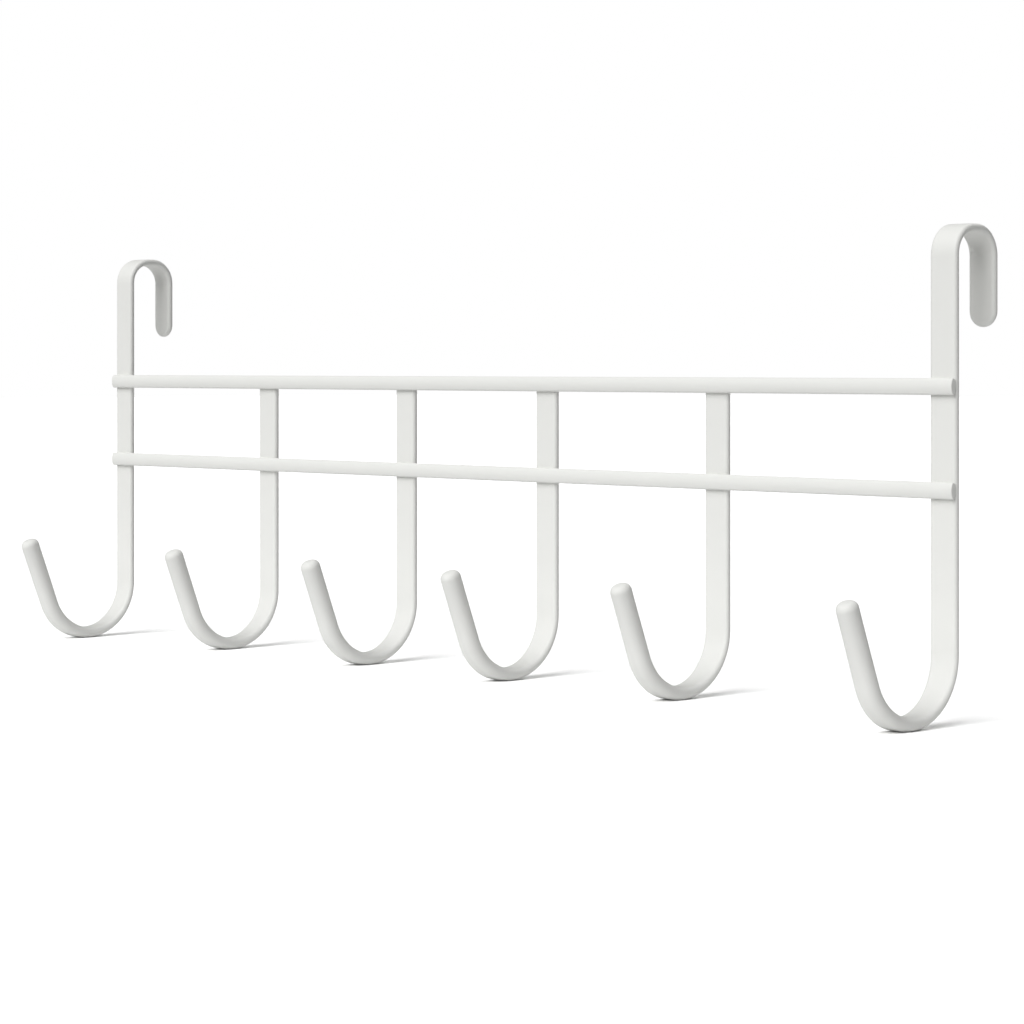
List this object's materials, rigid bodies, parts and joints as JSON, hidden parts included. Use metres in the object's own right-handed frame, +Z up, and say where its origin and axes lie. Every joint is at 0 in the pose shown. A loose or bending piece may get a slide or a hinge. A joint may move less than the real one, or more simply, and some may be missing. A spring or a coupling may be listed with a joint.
{
  "type": "over door hook",
  "caption": "Welded rack of flat straps on oval rails: the outer straps bend over a door's top edge, and each strap ends in a J hook for coats or towels.",
  "frame": {"origin": "midway between the two door hooks, in the plane of the straps' back faces, at the height of the door's top edge", "axes": "+X along the rails, to the right as seen from the room; +Y through the door, away from the room; +Z up"},
  "size_m": [0.35, 0.0582, 0.1257],
  "materials": {
    "powder_coat": "satin white powder coat on steel"
  },
  "bodies": {
    "root": {"rail_upper": "powder_coat", "rail_lower": "powder_coat", "door_hook_left": "powder_coat", "door_hook_right": "powder_coat", "coat_hook_1": "powder_coat", "coat_hook_2": "powder_coat", "coat_hook_3": "powder_coat", "coat_hook_4": "powder_coat"}
  },
  "joints": []
}
